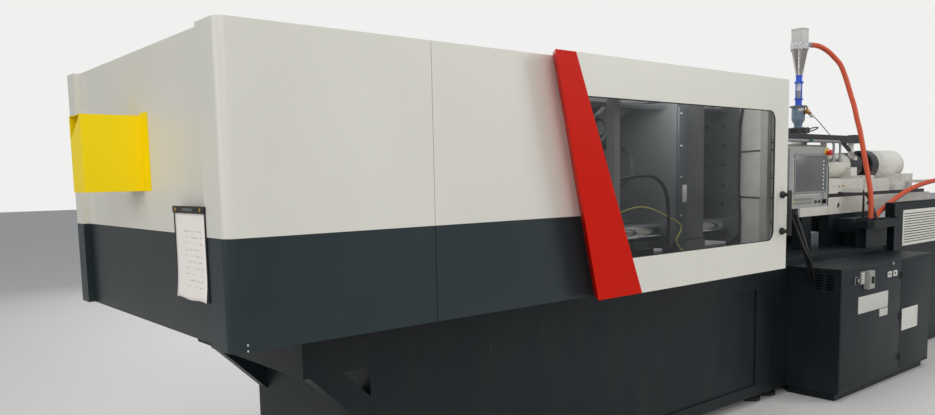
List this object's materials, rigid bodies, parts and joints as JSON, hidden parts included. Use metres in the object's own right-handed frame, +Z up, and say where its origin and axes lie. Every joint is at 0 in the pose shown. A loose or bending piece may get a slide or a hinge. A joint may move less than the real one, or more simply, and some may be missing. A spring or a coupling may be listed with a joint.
{
  "type": "injection moulding machine",
  "caption": "Horizontal toggle-clamp injection moulding machine with sliding guard gates, hopper, loader hose, operator panel and cabinets.",
  "frame": {"origin": "on the floor, under the middle of the machine's bounding box without its hoses and cables", "axes": "+X along the machine from the clamp end to the injection end, +Y from the operator's side to the rear, +Z up"},
  "size_m": [8.61, 2.294, 3.005],
  "materials": {
    "off_white": "satin",
    "anthracite": "satin",
    "frame_grey": "satin",
    "cast_grey": "matt",
    "bright_steel": "brushed",
    "hard_chrome": "polished",
    "signal_yellow": "satin",
    "signal_red": "gloss",
    "panel_grey": "matt",
    "screen": "gloss",
    "window": "gloss",
    "unit_white": "satin",
    "black_plastic": "matt",
    "red_plastic": "gloss",
    "sight_blue": "gloss",
    "hose_orange": "satin",
    "funnel_grey": "satin",
    "stainless": "brushed",
    "clear_pocket": "gloss",
    "black_rubber": "matt"
  },
  "bodies": {
    "machine": {"clamp_base": "anthracite", "injection_base": "anthracite", "levelling_mounts": "black_rubber", "stationary_platen": "cast_grey", "tail_platen": "cast_grey", "tie_bars": "hard_chrome", "tie_bar_nuts": "bright_steel", "clamp_cylinder": "cast_grey", "guard_frame": "frame_grey", "front_upper_covers": "off_white", "front_lower_covers": "anthracite", "rear_upper_covers": "off_white", "rear_lower_covers": "anthracite", "end_panels": "off_white", "exhaust_hood": "signal_yellow", "document_pouch": "clear_pocket", "fixed_guards": "panel_grey", "injection_bed": "unit_white", "bed_rails": "bright_steel", "panel_housing": "panel_grey", "panel_screen": "screen", "panel_cables": "black_plastic", "low_cabinet": "anthracite", "tall_cabinet": "anthracite"},
    "front_gate": {"gate_panel": "off_white", "gate_window": "window", "gate_band": "signal_red"},
    "rear_gate": {"rear_gate_panel": "off_white", "rear_gate_window": "window"},
    "platen": {"moving_platen": "cast_grey"},
    "ejector_unit": {"ejector": "bright_steel"},
    "crosshead_unit": {"crosshead": "bright_steel"},
    "rear_link_up": {"rear_link_upper": "cast_grey"},
    "rear_link_low": {"rear_link_lower": "cast_grey"},
    "front_link_up": {"front_link_upper": "cast_grey"},
    "front_link_low": {"front_link_lower": "cast_grey"},
    "cross_link_up": {"crosshead_link_upper": "bright_steel"},
    "cross_link_low": {"crosshead_link_lower": "bright_steel"},
    "injection_carriage": {"carriage": "unit_white", "barrel": "bright_steel", "heater_bands": "stainless", "barrel_cover": "unit_white", "drive_housing": "unit_white", "drive_flange": "cast_grey", "support_beam": "anthracite", "hydraulic_tubes": "bright_steel", "hopper_funnel": "funnel_grey", "sight_glass": "sight_blue", "cone_hopper": "stainless", "loader_receiver": "stainless", "loader_hose": "hose_orange", "supply_hose": "hose_orange"},
    "piston": {"injection_piston": "hard_chrome"},
    "screw_shaft": {"screw": "hard_chrome"},
    "stop_knob": {"emergency_stop": "red_plastic"},
    "start_key": {"start_button": "black_plastic"},
    "stop_key": {"stop_button": "black_plastic"},
    "selector": {"mode_selector": "black_plastic"},
    "door": {"cabinet_door": "anthracite", "door_grille": "off_white"}
  },
  "joints": [
    {"name": "front_gate_slide", "type": "slide", "parent": "machine", "child": "front_gate", "axis": [-1, 0, 0], "range_m": [0, 1.45]},
    {"name": "rear_gate_slide", "type": "slide", "parent": "machine", "child": "rear_gate", "axis": [-1, 0, 0], "range_m": [0, 1.45]},
    {"name": "clamp_slide", "type": "slide", "parent": "machine", "child": "platen", "axis": [-1, 0, 0], "range_m": [-0.044, 0.352]},
    {"name": "crosshead_slide", "type": "slide", "parent": "machine", "child": "crosshead_unit", "axis": [-1, 0, 0], "range_m": [-0.0257, 0.2052]},
    {"name": "rear_link_upper_turn", "type": "hinge", "parent": "machine", "child": "rear_link_up", "pos_m": [-1.50021, 0, 2.225], "axis": [0, 1, 0], "range_deg": [-5, 38.6]},
    {"name": "rear_link_lower_turn", "type": "hinge", "parent": "machine", "child": "rear_link_low", "pos_m": [-1.50021, 0, 1.325], "axis": [0, 1, 0], "range_deg": [-38.6, 5]},
    {"name": "front_link_upper_turn", "type": "hinge", "parent": "platen", "child": "front_link_up", "pos_m": [-0.935, 0, 2.225], "axis": [0, 1, 0], "range_deg": [-38.6, 5]},
    {"name": "front_link_lower_turn", "type": "hinge", "parent": "platen", "child": "front_link_low", "pos_m": [-0.935, 0, 1.325], "axis": [0, 1, 0], "range_deg": [-5, 38.6]},
    {"name": "crosshead_link_upper_turn", "type": "hinge", "parent": "crosshead_unit", "child": "cross_link_up", "pos_m": [-1.50061, 0, 1.875], "axis": [0, 1, 0], "range_deg": [-2.9, 22.1]},
    {"name": "crosshead_link_lower_turn", "type": "hinge", "parent": "crosshead_unit", "child": "cross_link_low", "pos_m": [-1.50061, 0, 1.675], "axis": [0, 1, 0], "range_deg": [-22.1, 2.9]},
    {"name": "ejector_slide", "type": "slide", "parent": "platen", "child": "ejector_unit", "axis": [1, 0, 0], "range_m": [0, 0.14]},
    {"name": "carriage_slide", "type": "slide", "parent": "machine", "child": "injection_carriage", "axis": [1, 0, 0], "range_m": [-0.21, 0.11]},
    {"name": "injection_stroke", "type": "slide", "parent": "injection_carriage", "child": "piston", "axis": [1, 0, 0], "range_m": [0, 0.24]},
    {"name": "screw_turn", "type": "hinge", "parent": "piston", "child": "screw_shaft", "pos_m": [0.905, 0, 1.775], "axis": [1, 0, 0], "continuous": true},
    {"name": "emergency_stop_push", "type": "slide", "parent": "machine", "child": "stop_knob", "axis": [0, 1, 0], "range_m": [0, 0.004], "stiffness_N_per_m": 900},
    {"name": "start_push", "type": "slide", "parent": "machine", "child": "start_key", "axis": [0, 1, 0], "range_m": [0, 0.003], "stiffness_N_per_m": 500},
    {"name": "stop_push", "type": "slide", "parent": "machine", "child": "stop_key", "axis": [0, 1, 0], "range_m": [0, 0.003], "stiffness_N_per_m": 500},
    {"name": "mode_turn", "type": "hinge", "parent": "machine", "child": "selector", "pos_m": [0.077, -1.079, 1.517], "axis": [0, 1, 0], "range_deg": [-45, 45]},
    {"name": "cabinet_door_swing", "type": "hinge", "parent": "machine", "child": "door", "pos_m": [2.34, -0.653, 1], "axis": [0, 0, -1], "range_deg": [0, 105]}
  ],
  "couplings": [
    {"joint": "crosshead_slide", "follows": "clamp_slide", "ratio": 0.5821},
    {"joint": "rear_link_upper_turn", "follows": "clamp_slide", "rad_per_m": 1.9024},
    {"joint": "rear_link_lower_turn", "follows": "clamp_slide", "rad_per_m": -1.9024},
    {"joint": "front_link_upper_turn", "follows": "clamp_slide", "rad_per_m": -1.9024},
    {"joint": "front_link_lower_turn", "follows": "clamp_slide", "rad_per_m": 1.9024},
    {"joint": "crosshead_link_upper_turn", "follows": "clamp_slide", "rad_per_m": 1.0856},
    {"joint": "crosshead_link_lower_turn", "follows": "clamp_slide", "rad_per_m": -1.0856}
  ]
}
